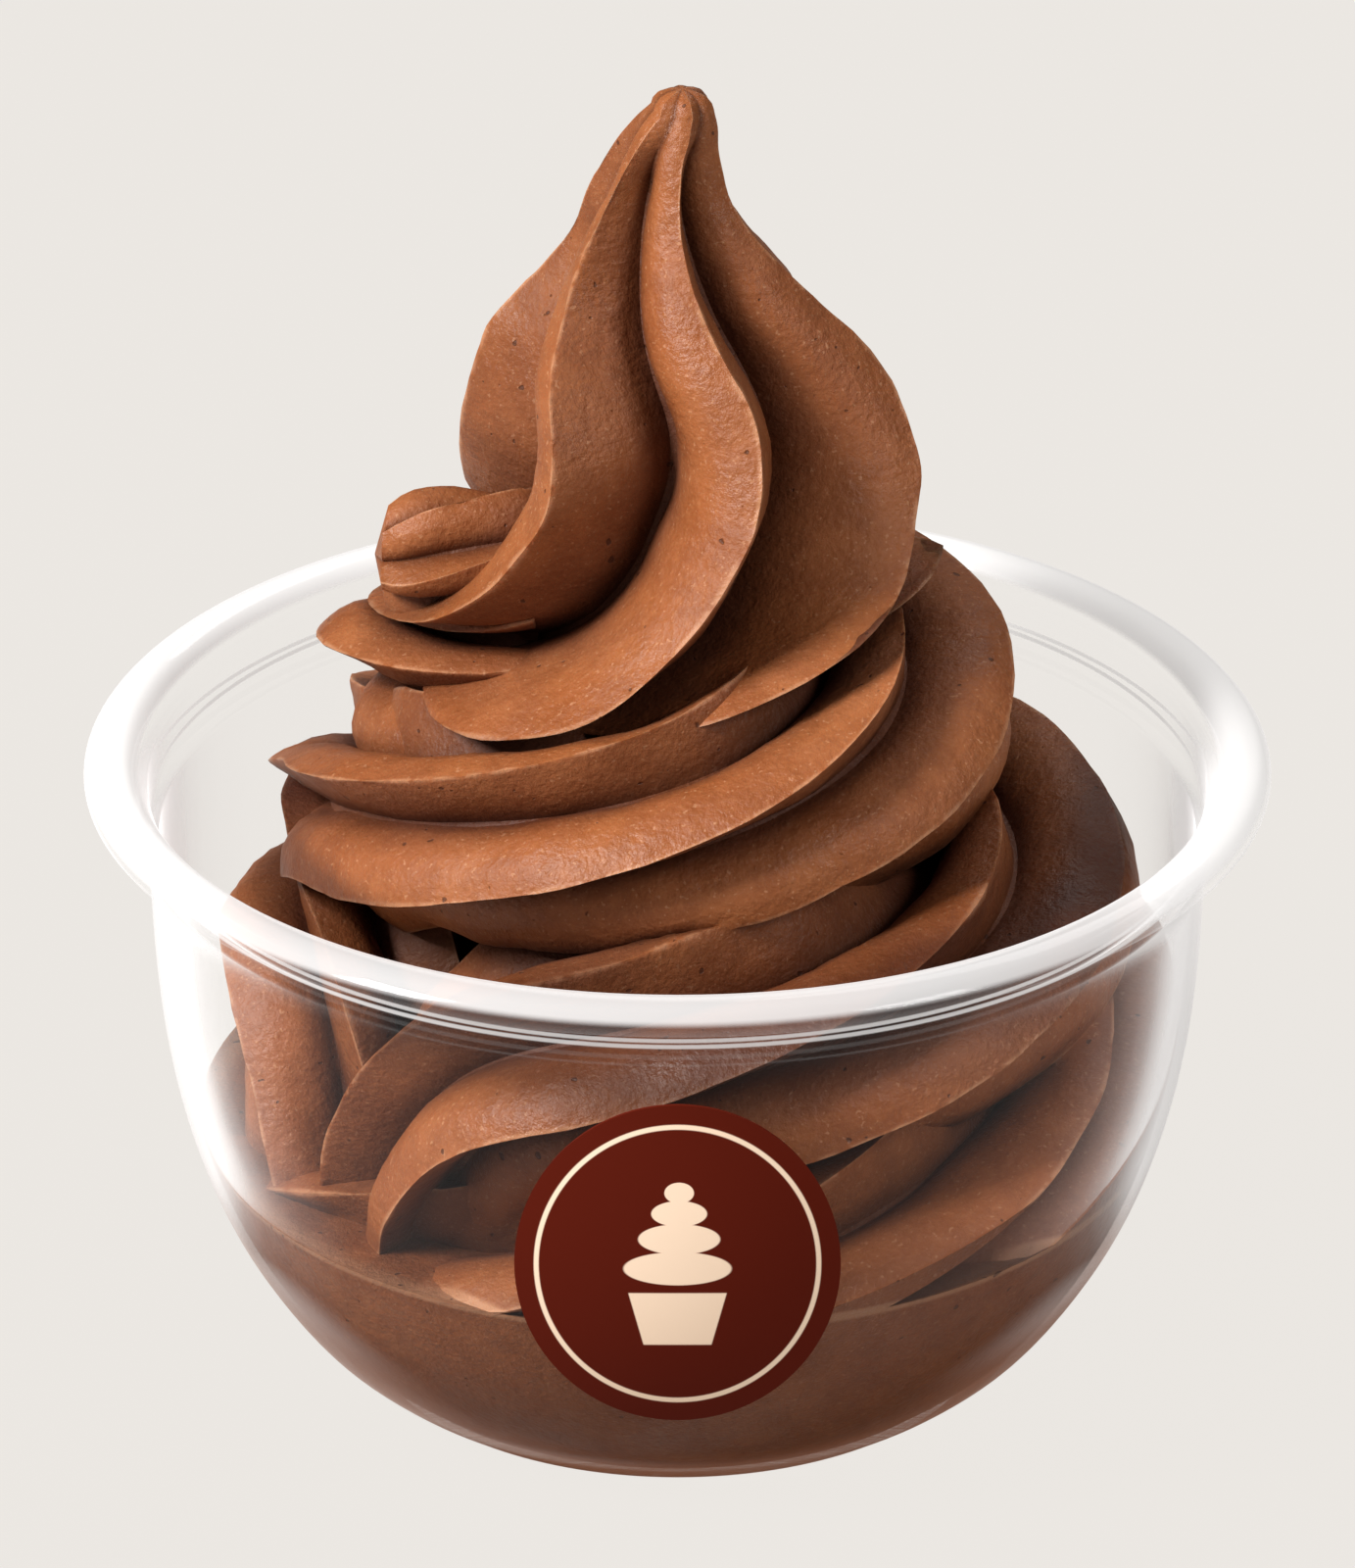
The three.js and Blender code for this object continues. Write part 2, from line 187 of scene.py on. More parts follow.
# The clear bowl is one turned profile of (radius, height) in mm.
bowl = dict(
    turns=160,
    sharp=50,  # degrees
    foot=[(0, 1.6), (18.5, 1.6), (20.0, 0.0)],
    wall=[(25.3, 0.0), (28.2, 2.1), (31.2, 4.9), (34.2, 9.0), (37.0, 14.0), (39.3, 20.0),
          (41.0, 27.0), (42.0, 35.0), (42.5, 45.6)],
    collar=[(43.2, 46.4), (43.3, 46.9), (43.3, 49.9), (43.5, 50.2)],
    lip=[(46.7, 50.5), (47.3, 50.8), (47.5, 51.3), (47.3, 51.9), (46.6, 52.6), (45.7, 52.95),
         (44.9, 53.0), (44.1, 52.8), (43.4, 52.2), (42.8, 51.2), (42.4, 50.2)],
    inside=[(42.3, 47.7), (42.0, 47.0), (41.6, 46.6)],
    innerWall=(2.4, 46),  # heights between which the inside follows the wall
    floor=[(23.5, 2.5), (0, 2.5)],
    wallSteps=6, lipSteps=4,
    wallThick=0.9,
    # how milky the plastic looks, a painted white reflection, from seen square on at 0 to edge on at 1
    milky=[(0.0, 0.0), (0.46, 0.015), (0.56, 0.05), (0.63, 0.12), (0.69, 0.30), (0.75, 0.66), (0.82, 0.96)],
    wet=(8, 26, 0.3, 0.0),  # heights, and how far food against the plastic takes its sheen away
    front=(-14, -34),  # y of the near side, where the band below the lip is clearest
    clearBand=(48.3, 48.7, 51.7, 52.1), clearAtFront=0.75, clearAllRound=0.1,
    # The lip's top, a line round the collar and a faint one where the collar starts also get painted white
    # reflection.
    lipTop=(51.5, 52.1), lipHaze=0.8, lipHazeLessAtFront=0.2,
    line=(47.65, 47.8, 48.0, 48.15), lineHaze=0.62,  # a line round the collar
    seat=(45.8, 46.0, 46.2, 46.4), seatHaze=0.06,  # a faint one where the collar starts
    low=(19, 11), lowEdge=(0.6, 0.82), lowTint=0.8,  # food seen in the sides low down
    footRise=(2.9, 2.2), footTint=0.95,  # and through the foot
    whiteFrom=(8, 23),  # heights over which the brown tint turns to the painted white reflection
    # the skin's colours, and the colours of the painted glow it gives off at the strength glow
    tintColour=srgb(104, 60, 39), tintPaintedGlow=srgb(134, 84, 58),
    paintedWhite=srgb(205, 203, 202), paintedWhiteGlow=srgb(250, 248, 247),
    roughness=0.06, ior=1.45, glow=0.46,
)


def wallOffset(points, gap):  # the wall curve moved inwards
    moved = []
    for i, (r, z) in enumerate(points):
        r0, z0 = points[max(i - 1, 0)]
        r1, z1 = points[min(i + 1, len(points) - 1)]
        tilt = math.atan2(r1 - r0, z1 - z0)
        moved.append((r - gap * math.cos(tilt), z + gap * math.sin(tilt)))
    return moved


def clearPlastic():
    clear = Finish("clearPlastic")
    # haze is how much of the skin covers the clear plastic: painted white reflection at the edges, and the
    # brown of food seen through low down
    facing = clear.node("ShaderNodeLayerWeight", None, {"Blend": 0.5}, out=1)
    _, y, z = clear.xyz(clear.place())
    edgeOn = facing - clear.between(z, *bowl["wet"])
    haze = clear.node("ShaderNodeValToRGB", {"stops": bowl["milky"]}, {"Fac": edgeOn})
    front = clear.between(y, *bowl["front"])
    clearer = front * bowl["clearAtFront"] + bowl["clearAllRound"]
    haze = haze * (1.0 - clear.band(z, *bowl["clearBand"]) * clearer)
    lipHaze = bowl["lipHaze"] - front * bowl["lipHazeLessAtFront"]
    lines = [clear.between(z, *bowl["lipTop"]) * lipHaze,
             clear.band(z, *bowl["line"]) * bowl["lineHaze"],
             clear.band(z, *bowl["seat"]) * bowl["seatHaze"],
             clear.between(z, *bowl["low"]) * clear.between(facing, *bowl["lowEdge"]) * bowl["lowTint"],
             clear.between(z, *bowl["footRise"]) * bowl["footTint"]]
    for line in lines:
        haze = haze.maths("MAXIMUM", line)
    white = clear.between(z, *bowl["whiteFrom"])
    # the skin is lit by the lamps and also glows with painted light
    skin = clear.node("ShaderNodeBsdfPrincipled", None,
                      {"Base Color": clear.mixed(white, bowl["tintColour"], bowl["paintedWhite"]),
                       "Emission Color": clear.mixed(white, bowl["tintPaintedGlow"], bowl["paintedWhiteGlow"]),
                       "Roughness": bowl["roughness"], "IOR": bowl["ior"], "Emission Strength": bowl["glow"]})
    through = clear.node("ShaderNodeBsdfTransparent", None, {"Color": (1, 1, 1, 1)})
    return clear.ends(clear.node("ShaderNodeMixShader", None, [haze, through, skin]))


wallCurve = roundedCurve(bowl["wall"], bowl["wallSteps"])
lowest, highest = bowl["innerWall"]
innerCurve = [(r, z) for r, z in wallOffset(wallCurve, bowl["wallThick"]) if lowest < z < highest]
bowlProfile = (bowl["foot"] + wallCurve + bowl["collar"] + roundedCurve(bowl["lip"], bowl["lipSteps"])
               + bowl["inside"] + innerCurve[::-1] + bowl["floor"])
bm = spunProfile(bowlProfile, bowl["turns"])
edgesByAngle(bm, bowl["sharp"])
clearBowl = finishedMesh("clearBowl", bm)
clearBowl.data.materials.append(clearPlastic())
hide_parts("cup")
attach(clearBowl, "root")
print("bowl made")


# The soft serve is strands from a star-shaped nozzle, joined and cut to the bowl. Lengths are in mm.
swirl = dict(
    fins=6,
    twist=360,  # degrees a fin turns about the strand in each turn of the coil
    finStart=-112.5,
    flat=0.85,
    groove=0.62,  # where the groove lies between two fins of a coil
    deeper=1.25,  # depth of a coil's grooves over that of the plain star
    step=1.1,  # between sections
    joinLength=46,  # a coil is joined on in lengths of this
    insideBend=0.9,  # share of the way to the centre of a bend that a section may reach
    # share of the way, reach as a share of the tip radius: crest to groove, then groove to the next crest
    litSide=[(0, 1), (0.035, 0.991), (0.1, 0.974), (0.2, 0.95), (0.34, 0.915), (0.52, 0.855), (0.7, 0.775),
             (0.86, 0.69), (0.95, 0.625)],
    shadeSide=[(0, 0.585), (0.13, 0.58), (0.36, 0.655), (0.6, 0.762), (0.8, 0.866), (0.92, 0.946),
               (0.975, 0.986)],
    base=[(0, 1), (50, 1), (50, 22), (41, 21.5), (38, 20.5), (30, 21), (0, 22)], baseTurns=96,
    core=[(0, 5), (16, 5), (17, 25), (15, 40), (10, 52), (7, 60), (0, 66)], coreTurns=32,
    # stations: turn, radius of the coil, height, radius of the strand, degrees turned, shift in x
    bottomCoil=[(-3.3, 25, 12, 12, 30, 0), (-3.0, 27, 19, 13, 30, 0), (-2.75, 28.5, 26, 13.5, 30, 0),
                (-2.5, 27.5, 33, 12.5, 30, 0), (-2.33, 26, 36.5, 12, 30, 0), (-2.23, 26, 32.5, 11, 30, 0),
                (-2.185, 26.5, 14, 10, 30, 0)],
    middleCoil=[(-2.14, 25, 17, 9.5, 17, 0), (-2.12, 25.5, 26.5, 11.5, 17, 0),
                (-2.075, 25.5, 35.5, 12.8, 11, 0), (-2.0, 24.5, 39, 13.5, 0, 0), (-1.88, 25, 40, 13.2, 2, 0),
                (-1.74, 25.3, 41, 12.6, 3, 0), (-1.6, 25.5, 41.5, 11.8, 8, 0), (-1.38, 24.5, 43.5, 11, 38, 0),
                (-1.25, 22.2, 47, 11, 50, -0.3), (-1.17, 21.3, 52, 11.5, 24, -0.5),
                (-1.0, 19.5, 56, 11.5, 3, -1.5), (-0.82, 18.4, 58, 12.8, -2, -2.6),
                (-0.6, 17, 58.2, 12.2, -7, -3.2), (-0.42, 16, 57.8, 11, -15, -3),
                (-0.27, 13.6, 59.5, 11.4, -15, -4), (-0.1, 6, 58, 9, -15, -4)],
    # stations: height, radius, azimuths of the left, front and right fin, groove, lift at the right, x
    crown=[(59.6, 11, -160, -88, -28, 0.6, 0.3, -3), (60.6, 18.4, -144, -66, -6, 0.6, 0.31, -2.8),
           (61.7, 22.2, -128, -44, 14, 0.6, 0.3, -2.6), (63, 23.2, -112, -26, 33, 0.58, 0.26, -2.2),
           (65, 22.8, -90, -12, 48, 0.52, 0.2, -1.6), (68, 21.6, -64, -3, 58, 0.46, 0.13, -0.9),
           (72, 20.4, -49, 5, 65, 0.44, 0.07, -0.1), (76, 19.6, -41, 11, 71, 0.44, 0.03, 0.4),
           (80, 18.8, -36, 16, 77, 0.44, 0, 0.8), (84, 17.4, -36, 20.5, 82, 0.46, 0, 0.5),
           (88, 15.2, -40, 23, 86, 0.56, 0, -0.2), (92, 11.7, -48, 18, 84, 0.65, 0, -0.5),
           (96, 8.6, -52, 15, 78, 0.62, 0, -1.1), (100, 6.2, -48, 16, 76, 0.58, 0, -1.5),
           (104, 4.6, -42, 18, 78, 0.56, 0, -1.1), (106.4, 3.7, -41, 20, 80, 0.55, 0, -0.3),
           (107.9, 2.8, -40, 20, 80, 0.55, 0, 0.3)],
    crownLength=90,  # along the peak, which sets the number of its sections
    crownDeeper=1.35,
    firstGap=1.2,  # gap behind the crown's left fin, over the mean of the gaps at the back
    meltFrom=102.5, meltOver=5, melted=0.7, meltSlims=0.12,  # the ridges melt away at the tip
    liftFrom=-8, liftSoft=5,  # x from which the sections are lifted, and how gently that starts
    drawnIn=0.2, drawnOver=4, drawnBelow=90, drawnFade=12,  # the right-hand side is drawn in behind
    tipRound=[(0.94, 0.5), (0.78, 1.0), (0.5, 1.35), (0.22, 1.5)],  # share of the last ring, rise over it
    tipCap=0.03,
    stubFrom=(-11, -4, 70.5), stubTo=(-23, -3, 71), stubSize=6.2, stubTurned=20, stubTwist=50,
    stubTaper=0.6, stubSteps=12, stubCap=0.8,
    intoWall=0.15,  # how far the food reaches into the plastic, so no air gap shows
    roomFoot=[(0, 1.9), (19.0, 1.9), (20.8, 0.7), (25.4, 0.7)], roomWall=(1.0, 46),
    roomTop=[(41.9, 48), (42.3, 60), (42.3, 130), (0, 130)],
    thinnest=0.02,  # edges shorter than this are dissolved
    sharp=42,  # degrees
    # unevenness of the frozen surface: features per mm and height, fading out towards the top
    reliefSlow=(0.16, 0.35), reliefFine=(0.7, 0.09), reliefShift=(7, 3, 1), reliefTop=109.5, reliefFade=8,
    pressedBelow=47, pressedOutside=20, pressedNear=0.25, pressedFoot=2.2,  # food that lies on the plastic
    # how deep a place lies among the folds: reach, number of directions, start off the surface, radians
    # from one direction to the next, least cosine, how much less a far fold counts, share of its neighbours
    hollowReach=13, hollowRays=26, hollowStart=0.15, hollowTurn=2.39996, hollowGrazing=0.1,
    hollowFar=0.5, hollowOwn=0.4, hollowNear=0.6,
    # noises: features per mm, detail, roughness, then the range that is used and what it becomes
    cloud=(0.08, 3, 0.5, 0.35, 0.65), blotch=(0.3, 4, 0.6, 0.38, 0.62, 0.0, 0.45), grain=(2.2, 4, 0.6),
    specks=(2.6, 1, 0.4, 0.66, 0.74), pits=(1.05, 1, 0.3, 0.765, 0.80), worn=(0.5, 2, 0.5, 0.36, 0.56),
    ripples=(0.9, 4, 0.6), wrinkles=(1.5, 4, 0.65), dents=(0.6, 2, 0.5),
    sheen=(0.13, 3, 0.5, 0.35, 0.68, 0.34, 0.52),
    # places on the strand, where one fin is 1 across and its crest lies at one half
    # a painted highlight along each crest, and painted shade along each groove and on the steep side of each
    # fin
    crestWidth=(0.085, 0.02), grooveShadeWidth=(0.2, 0.02), slotShift=0.44, shadeBand=(0.05, 0.12, 0.42, 0.49),
    rippleStretch=(4, 0.8),
    # places in the bowl, by height and by distance from its axis
    # painted shadow of the lip on the food under it, and painted shade low down near the wall
    underLip=(36, 44, 48, 51), lipShadowOut=(27, 34), packed=(21, 4), lowShadeOut=(24, 31),
    # a painted highlight along the edge of the base's top, against the plastic
    brim=(20.1, 20.5, 21.0, 21.4), brimGlintOut=(36, 38),
    tones=dict(cocoa=srgb(148, 83, 44), milky=srgb(158, 93, 52), blotch=srgb(126, 67, 33),
               # the light tone given to crests and the brim is a painted highlight
               grain=srgb(182, 118, 74), worn=srgb(212, 158, 120), specks=srgb(206, 152, 114),
               # the two darkest browns are painted shade, in the folds and inside the pits
               fold=srgb(60, 23, 10), pits=srgb(52, 22, 10)),
    grainSeen=(0.45, 0.8), foldShadeSeen=(0.12, 0.75),
    # how strongly each tone shows: the light ones on crests and the brim are painted highlight, the dark ones
    # painted shade, grain and specks are the food's own
    shares=dict(grain=0.35, crest=0.4, brim=0.6, specks=0.35, fold=0.78, slot=0.5, shade=0.22,
                underLip=0.85, packed=0.12, pits=0.7),
    heights=dict(grain=0.5, ripples=0.5, wrinkles=0.9, dents=0.9),
    bumpStrength=0.55, bumpDistance=0.35,
    glossierCrest=0.08, dullerFold=0.3, ior=1.45, specular=0.36,
    scatter=0.08, scatterScale=0.5,
    scatterRadius=(0.004, 0.0014, 0.0006),  # metres, for red, green and blue
)


def starRing(middle, out, up, size, crests, groove, deeper=1.0, flat=1.0):  # one section of a strand
    ring = []

    def add(degrees, reach):
        f, r = math.radians(degrees), size * (1 - deeper * (1 - reach))
        ring.append(middle + out * (r * math.cos(f)) + up * (flat * r * math.sin(f)))

    for crest, following in zip(crests, crests[1:] + [crests[0] + 360]):
        gap = following - crest
        for t, reach in swirl["litSide"]:
            add(crest + gap * groove * t, reach)
        for t, reach in swirl["shadeSide"]:
            add(crest + gap * (groove + (1 - groove) * t), reach)
    return ring


def evenly(start):  # the directions of the fins
    return [start + 360 * k / swirl["fins"] for k in range(swirl["fins"])]


def azimuth(turn):  # whole turns end at the front
    return math.radians(270 + 360 * turn)


def coilCentre(coil, q):
    a = azimuth(along(coil, 0, q))
    r = along(coil, 1, q)
    return Vector((r * math.cos(a) + along(coil, 5, q), r * math.sin(a), along(coil, 2, q)))


def coilRing(coil, q):
    h = 0.02  # stations to either side, for the direction and the bend
    p, before, after = coilCentre(coil, q), coilCentre(coil, q - h), coilCentre(coil, q + h)
    ahead = after - before
    speed = ahead.length / (2 * h)
    ahead.normalize()
    bend = (after + before - 2 * p) / (h * speed) ** 2
    bend -= ahead * bend.dot(ahead)
    limit = swirl["insideBend"] / bend.length
    bend.normalize()
    turn = along(coil, 0, q)
    a = azimuth(turn)
    out = Vector((math.cos(a), math.sin(a), 0))
    out = (out - ahead * out.dot(ahead)).normalized()
    up = out.cross(ahead)
    crests = evenly(swirl["finStart"] + swirl["twist"] * turn + along(coil, 4, q))
    ring = starRing(p, out, up, along(coil, 3, q), crests, swirl["groove"], swirl["deeper"], swirl["flat"])
    for o in ring:
        inward = (o - p).dot(bend)
        if inward > limit:
            o += bend * (limit - inward)
    return ring


def coilRings(coil):  # at equal steps of length
    cuts = 40  # for each station, to measure the length
    fine = cuts * (len(coil) - 1)
    reach = [0]
    for i in range(1, fine + 1):
        reach.append(reach[-1] + (coilCentre(coil, i / cuts) - coilCentre(coil, (i - 1) / cuts)).length)
    count = math.ceil(reach[-1] / swirl["step"])
    rings, i = [], 0
    for k in range(count + 1):
        want = reach[-1] * k / count
        while i < fine - 1 and reach[i + 1] < want:
            i += 1
        rings.append(coilRing(coil, (i + (want - reach[i]) / (reach[i + 1] - reach[i])) / cuts))
    return rings


def crownRing(q):
    crown = swirl["crown"]
    middle = Vector((along(crown, 7, q), 0, along(crown, 0, q)))
    left, front, right = (-along(crown, column, q) for column in (2, 3, 4))
    first = left + swirl["firstGap"] * (360 + right - left) / 4
    others = (360 + right - first) / 3
    crests = [right, front, left] + [first + others * k for k in range(3)]
    smoothed = held((middle.z - swirl["meltFrom"]) / swirl["meltOver"]) * swirl["melted"]
    size = along(crown, 1, q) * (1 - swirl["meltSlims"] * smoothed)
    ring = starRing(middle, Vector((0, -1, 0)), Vector((-1, 0, 0)), size, crests, along(crown, 5, q),
                    swirl["crownDeeper"] * (1 - smoothed))
    for o in ring:
        if o.x > middle.x:
            behind = held(o.y / swirl["drawnOver"])
            below = held((swirl["drawnBelow"] - o.z) / swirl["drawnFade"])
            o.x -= (o.x - middle.x) * swirl["drawnIn"] * behind * below
    lift = along(crown, 6, q)
    for o in ring:
        x = o.x - swirl["liftFrom"]
        o.z += lift * (x + math.hypot(x, swirl["liftSoft"])) / 2
    return ring


def crownRings():  # the last turn, drawn up into the peak
    steps = round(swirl["crownLength"] / swirl["step"])
    rings = [crownRing((len(swirl["crown"]) - 1) * i / steps) for i in range(steps + 1)]
    last = rings[-1]
    tip = sum(last, Vector()) / len(last)
    for share, rise in swirl["tipRound"]:
        rings.append([tip + (o - tip) * share + Vector((0, 0, rise)) for o in last])
    return rings


def stubRings():  # the torn start of the last turn
    start, end, steps = Vector(swirl["stubFrom"]), Vector(swirl["stubTo"]), swirl["stubSteps"]
    up = Vector((0, 0, 1))
    side = (end - start).cross(up).normalized()
    rings = []
    for k in range(steps + 1):
        size = swirl["stubSize"] * math.sqrt(1 - swirl["stubTaper"] * (k / steps) ** 4)
        crests = evenly(swirl["stubTurned"] + swirl["stubTwist"] * k / steps)
        rings.append(starRing(start.lerp(end, k / steps), side, up, size, crests, swirl["groove"]))
    return rings


def rolledStrand(rings, flowStart=0.0, capRise=0.6):  # a grid rolled up through the rings, both ends closed
    rows, across = len(rings) - 1, len(rings[0])
    bm = bmesh.new()
    bmesh.ops.create_grid(bm, x_segments=across, y_segments=rows, size=0.5)
    flow = bm.loops.layers.uv.new("flow")
    spot = {v: (round((v.co.x + 0.5) * across), round((v.co.y + 0.5) * rows)) for v in bm.verts}
    for face in bm.faces:
        for loop in face.loops:
            i, j = spot[loop.vert]
            loop[flow].uv = (i / across * swirl["fins"] + 0.5, flowStart + j * swirl["step"])
    for v, (i, j) in spot.items():
        v.co = rings[j][i % across] * mm
    bmesh.ops.remove_doubles(bm, verts=bm.verts, dist=sameSpot / 10)
    for ring, beside in ((rings[0], rings[1]), (rings[-1], rings[-2])):
        middle = sum(ring, Vector()) / across
        inner = sum(beside, Vector()) / across
        tip = (middle + (middle - inner).normalized() * capRise) * mm
        rim = [e for e in bm.edges if e.is_boundary
               and any((e.verts[0].co / mm - o).length < sameSpot / mm for o in ring)]
        made = bmesh.ops.extrude_edge_only(bm, edges=rim)["geom"]
        bmesh.ops.pointmerge(bm, verts=[g for g in made if isinstance(g, bmesh.types.BMVert)], merge_co=tip)
    bmesh.ops.recalc_face_normals(bm, faces=bm.faces)
    return finishedMesh("strand", bm)


def joined(body, other, operation="UNION"):
    tool = body.modifiers.new("join", "BOOLEAN")
    tool.operation, tool.solver, tool.object = operation, "MANIFOLD", other
    mesh = bpy.data.meshes.new_from_object(body.evaluated_get(bpy.context.evaluated_depsgraph_get()))
    body.modifiers.clear()
    old = body.data
    body.data = mesh
    bpy.data.meshes.remove(old)
    bpy.data.objects.remove(other)


def dropScraps(bm):  # keeps the largest connected island
    islands, seen = [], set()
    for face in bm.faces:
        if face in seen:
            continue
        island, waiting = [], [face]
        seen.add(face)
        while waiting:
            f = waiting.pop()
            island.append(f)
            for e in f.edges:
                for g in e.link_faces:
                    if g not in seen:
                        seen.add(g)
                        waiting.append(g)
        islands.append(island)
    islands.sort(key=len)
    for island in islands[:-1]:
        bmesh.ops.delete(bm, geom=island, context="FACES")
    print("islands", len(islands))


def relief(p):
    scale, rise = swirl["reliefSlow"]
    slow = noise.noise(p * scale) * rise
    scale, rise = swirl["reliefFine"]
    fine = noise.noise(p * scale + Vector(swirl["reliefShift"])) * rise
    return (slow + fine) * held((swirl["reliefTop"] - p.z) / swirl["reliefFade"])


def pressed(p, wall):  # whether the food here lies on the plastic
    out = math.hypot(p.x, p.y)
    if not (p.z < swirl["pressedBelow"] and out > swirl["pressedOutside"]):
        return False
    wallHere = min(wall, key=lambda w: abs(w[1] - p.z))[0]
    return out > wallHere - swirl["pressedNear"] or p.z < swirl["pressedFoot"]


def roughened(bm, wall):
    bm.normal_update()
    moves = {}
    for v in bm.verts:
        p = v.co / mm
        if not pressed(p, wall):
            moves[v] = v.normal * (relief(p) * mm)
    for v, move in moves.items():
        v.co += move
    bm.normal_update()


def markHollows(bm):  # how much of the food itself a place looks at, from 0 in the open to 1 in a fold
    layer = bm.verts.layers.float.new("hollow")
    tree = BVHTree.FromBMesh(bm)
    count, reach = swirl["hollowRays"], swirl["hollowReach"] * mm
    around = []
    for k in range(count):
        z = 1 - (2 * k + 1) / count
        a = k * swirl["hollowTurn"]
        out = math.sqrt(1 - z * z)
        around.append(Vector((out * math.cos(a), out * math.sin(a), z)))
    found = {}
    for v in bm.verts:
        start, met, asked = v.co + v.normal * (swirl["hollowStart"] * mm), 0.0, 0.0
        for way in around:
            facing = way.dot(v.normal)
            if facing > swirl["hollowGrazing"]:
                asked += facing
                distance = tree.ray_cast(start, way, reach)[3]
                if distance is not None:
                    met += facing * (1 - swirl["hollowFar"] * distance / reach)
        found[v] = met / asked
    for v in bm.verts:
        near = [found[e.other_vert(v)] for e in v.link_edges]
        v[layer] = swirl["hollowOwn"] * found[v] + swirl["hollowNear"] * sum(near) / len(near)


def chocolateSoftServe():
    cream = Finish("chocolateSoftServe")
    spot = cream.place()
    tones, shares, heights = swirl["tones"], swirl["shares"], swirl["heights"]

    def pattern(name, vector=spot):
        scale, detail, rough, *used = swirl[name]
        plain = cream.spots(vector, scale, detail, rough)
        return cream.between(plain, *used) if used else plain

    # where on its strand a place lies
    flowRound, flowAhead, _ = cream.xyz(cream.uvMap("flow"))
    across = flowRound.maths("FRACT")
    # a painted highlight along each crest, broken up by noise
    crest = cream.between((across - 0.5).maths("ABSOLUTE"), *swirl["crestWidth"]) * pattern("worn")
    # painted shade in a line along the bottom of each groove
    fromSlot = ((flowRound + swirl["slotShift"]).maths("FRACT") - 0.5).maths("ABSOLUTE")
    slot = cream.between(fromSlot, *swirl["grooveShadeWidth"])
    shade = cream.band(across, *swirl["shadeBand"])
    # how deep among the folds a place lies; it paints shade into the colour and dulls the roughness
    hollow = cream.node("ShaderNodeAttribute", {"attribute_name": "hollow"}, out=2)

    # where in the bowl it lies
    x, y, z = cream.xyz(spot)
    outward = (x * x + y * y) ** 0.5
    # painted shadow of the lip
    underLip = cream.band(z, *swirl["underLip"]) * cream.between(outward, *swirl["lipShadowOut"])
    # painted shade, darker towards the bottom near the wall
    packed = cream.between(z, *swirl["packed"]) * cream.between(outward, *swirl["lowShadeOut"])
    # painted highlight along the brim
    brim = cream.band(z, *swirl["brim"]) * cream.between(outward, *swirl["brimGlintOut"])

    grain, pits = pattern("grain"), pattern("pits")
    tone = cream.mixed(pattern("cloud"), tones["cocoa"], tones["milky"])
    tone = cream.mixed(pattern("blotch"), tone, tones["blotch"])
    tone = cream.mixed(cream.between(grain, *swirl["grainSeen"]) * shares["grain"], tone, tones["grain"])
    # painted highlight on crests and the brim
    tone = cream.mixed((crest * shares["crest"]).maths("MAXIMUM", brim * shares["brim"]), tone, tones["worn"])
    tone = cream.mixed(pattern("specks") * shares["specks"], tone, tones["specks"])
    # Painted shade: the colour darkens towards a dark brown in the folds, along each groove, on the steep
    # side of each fin, under the lip and low down near the wall.
    paintedShade = cream.between(hollow, *swirl["foldShadeSeen"], kind="LINEAR") * shares["fold"]
    for name, dark in (("slot", slot), ("shade", shade), ("underLip", underLip), ("packed", packed)):
        paintedShade = 1.0 - (1.0 - paintedShade) * (1.0 - dark * shares[name])
    tone = cream.mixed(paintedShade, tone, tones["fold"])
    # the pits are real small holes; their near black is the painted shade inside them
    tone = cream.mixed(pits * shares["pits"], tone, tones["pits"])

    stretchRound, stretchAhead = swirl["rippleStretch"]
    rippleParts = [flowRound * stretchRound, flowAhead * stretchAhead, 0.0]
    rippleAt = cream.node("ShaderNodeCombineXYZ", None, rippleParts)
    height = grain * heights["grain"] + pattern("ripples", rippleAt) * heights["ripples"] \
        + pattern("wrinkles") * heights["wrinkles"] + pattern("dents") * heights["dents"] - pits
    bump = cream.node("ShaderNodeBump", None, {"Strength": swirl["bumpStrength"],
                                               "Distance": swirl["bumpDistance"] * mm, "Height": height})
    roughness = pattern("sheen") - crest * swirl["glossierCrest"] + hollow * swirl["dullerFold"]
    surface = cream.node("ShaderNodeBsdfPrincipled", None,
                         {"Base Color": tone, "Roughness": roughness, "Normal": bump, "IOR": swirl["ior"],
                          "Specular IOR Level": swirl["specular"], "Subsurface Weight": swirl["scatter"],
                          "Subsurface Radius": swirl["scatterRadius"],
                          "Subsurface Scale": swirl["scatterScale"]})
    return cream.ends(surface)


food = finishedMesh("food", spunProfile(swirl["base"], swirl["baseTurns"]))
joined(food, finishedMesh("core", spunProfile(swirl["core"], swirl["coreTurns"])))
for coil in (swirl["bottomCoil"], swirl["middleCoil"]):
    rings = coilRings(coil)
    run = round(swirl["joinLength"] / swirl["step"])
    for i in range(0, len(rings) - 1, run):
        joined(food, rolledStrand(rings[i:i + run + 1], flowStart=i * swirl["step"]))
    print("coil joined", len(rings), len(food.data.polygons))
joined(food, rolledStrand(crownRings(), capRise=swirl["tipCap"]))
joined(food, rolledStrand(stubRings(), capRise=swirl["stubCap"]))
print("crown joined", len(food.data.polygons))

foodWall = wallOffset(wallCurve, bowl["wallThick"] - swirl["intoWall"])
lowest, highest = swirl["roomWall"]
room = swirl["roomFoot"] + [(r, z) for r, z in foodWall if lowest < z < highest] + swirl["roomTop"]
joined(food, finishedMesh("room", spunProfile(room, bowl["turns"])), "INTERSECT")
print("food cut to the bowl", len(food.data.polygons))

